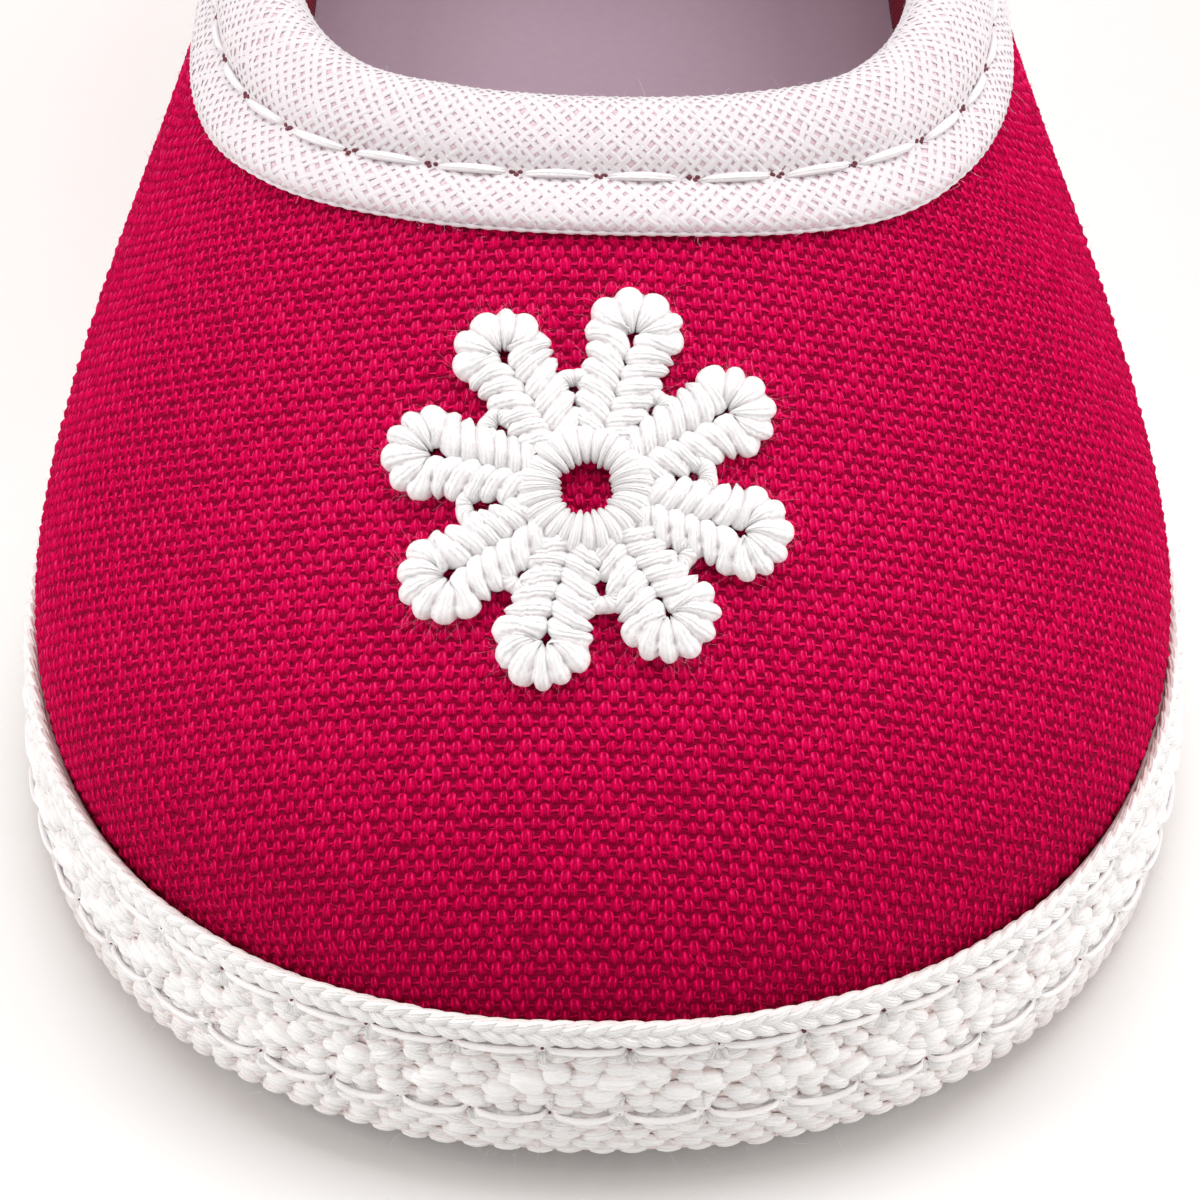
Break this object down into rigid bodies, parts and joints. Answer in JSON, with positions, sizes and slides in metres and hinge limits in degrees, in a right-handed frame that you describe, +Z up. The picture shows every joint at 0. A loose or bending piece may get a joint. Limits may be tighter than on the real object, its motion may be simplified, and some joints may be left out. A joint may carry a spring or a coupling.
{
  "type": "baby's cloth shoe",
  "caption": "Slip-on cloth shoe for a baby: hollow canvas upper on a soft flat sole with a woven band, bound collar and lace flower.",
  "frame": {"origin": "on the floor under the middle of the sole", "axes": "toe along -Y, heel along +Y, +Z up, +X to the right of someone who faces the toe"},
  "size_m": [0.06, 0.12, 0.0437],
  "materials": {
    "crimson_canvas": "matt plain weave",
    "white_braid": "shiny braided yarn",
    "white_sole": "matt",
    "lilac_lining": "smooth, soft sheen",
    "white_bias_tape": "open weave on the bias",
    "white_lace": "satin thread"
  },
  "bodies": {
    "root": {"upper": "crimson_canvas", "sole_band": "white_braid", "outsole": "white_sole", "insole": "lilac_lining", "collar_binding": "white_bias_tape", "flower": "white_lace"}
  },
  "joints": []
}
